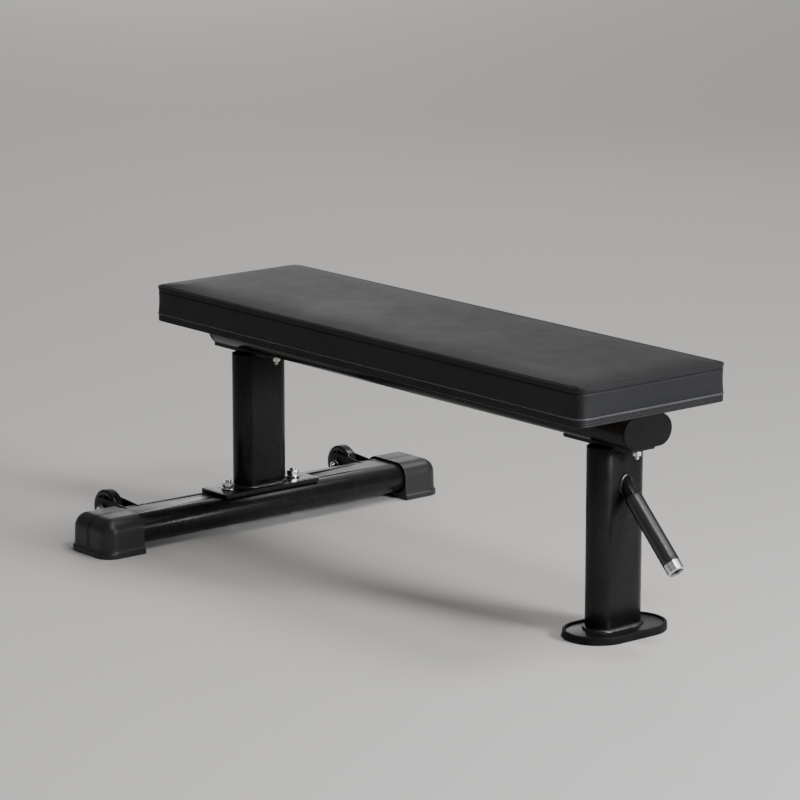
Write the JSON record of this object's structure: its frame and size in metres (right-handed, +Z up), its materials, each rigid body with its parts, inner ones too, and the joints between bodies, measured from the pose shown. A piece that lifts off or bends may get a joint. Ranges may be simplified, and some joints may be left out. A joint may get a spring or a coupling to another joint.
{
  "type": "weight bench",
  "caption": "Flat padded weight bench on a flat-oval steel frame, with a lifting handle at one end and transport wheels at the other.",
  "frame": {"origin": "middle of the floor area that the bench covers, on the floor", "axes": "+X along the bench towards the handle end, +Y across it to the right boot, +Z up"},
  "size_m": [1.186, 0.74, 0.431],
  "materials": {
    "vinyl": "satin black-grey vinyl with a fine leather grain",
    "foam": "open-cell upholstery foam, hidden under the cover",
    "plywood": "plywood, stained edges hidden by the trim",
    "trim": "ribbed black plastic edge trim",
    "piping": "grey welt cord with a sheen",
    "cap": "matte moulded plastic end plug",
    "foot_rubber": "moulded rubber",
    "boot": "moulded rubber with a satin sheen",
    "grip": "smooth rubber grip",
    "collar": "turned aluminium",
    "wheel": "glossy moulded plastic",
    "bush": "sintered bush",
    "weld": "weld bead under gloss powder coat",
    "chrome": "bright plated steel",
    "zinc": "pale zinc plate",
    "powder_coat": "satin-gloss black powder coat"
  },
  "bodies": {
    "frame": {"pad_cover": "vinyl", "pad_foam": "foam", "pad_board": "plywood", "pad_trim": "trim", "pad_piping": "piping", "front_pad_bracket": "powder_coat", "rear_pad_bracket": "powder_coat", "pad_bolts": "zinc", "pad_bolt_washers": "zinc", "pad_tee_nuts": "zinc", "main_beam": "powder_coat", "front_beam_cap": "cap", "rear_beam_cap": "cap", "front_flange_plate": "powder_coat", "rear_flange_plate": "powder_coat", "flange_bolts": "zinc", "flange_washers": "zinc", "flange_spring_washers": "zinc", "flange_nuts": "zinc", "front_upright": "powder_coat", "rear_upright": "powder_coat", "front_top_weld": "weld", "rear_top_weld": "weld", "front_base_weld": "weld", "rear_base_weld": "weld", "front_base_plate": "powder_coat", "front_foot": "foot_rubber", "handle_tube": "powder_coat", "handle_weld": "weld", "handle_grip": "grip", "handle_collar": "collar", "rear_base_plate": "powder_coat", "rear_cross_tube": "powder_coat", "base_bolts": "chrome", "base_washers": "chrome", "base_nuts": "chrome", "left_boot": "boot", "right_boot": "boot", "left_inner_fork": "powder_coat", "left_outer_fork": "powder_coat", "right_inner_fork": "powder_coat", "right_outer_fork": "powder_coat", "left_axle_bolt": "chrome", "left_axle_washers": "chrome", "left_axle_nut": "chrome", "right_axle_bolt": "chrome", "right_axle_washers": "chrome", "right_axle_nut": "chrome"},
    "left_wheel": {"left_wheel": "wheel", "left_wheel_bush": "bush"},
    "right_wheel": {"right_wheel": "wheel", "right_wheel_bush": "bush"}
  },
  "joints": [
    {"name": "left_wheel_spin", "type": "hinge", "parent": "frame", "child": "left_wheel", "pos_m": [-0.55901, -0.259, 0.046], "axis": [0, 1, 0], "continuous": true},
    {"name": "right_wheel_spin", "type": "hinge", "parent": "frame", "child": "right_wheel", "pos_m": [-0.55901, 0.259, 0.046], "axis": [0, 1, 0], "continuous": true}
  ]
}
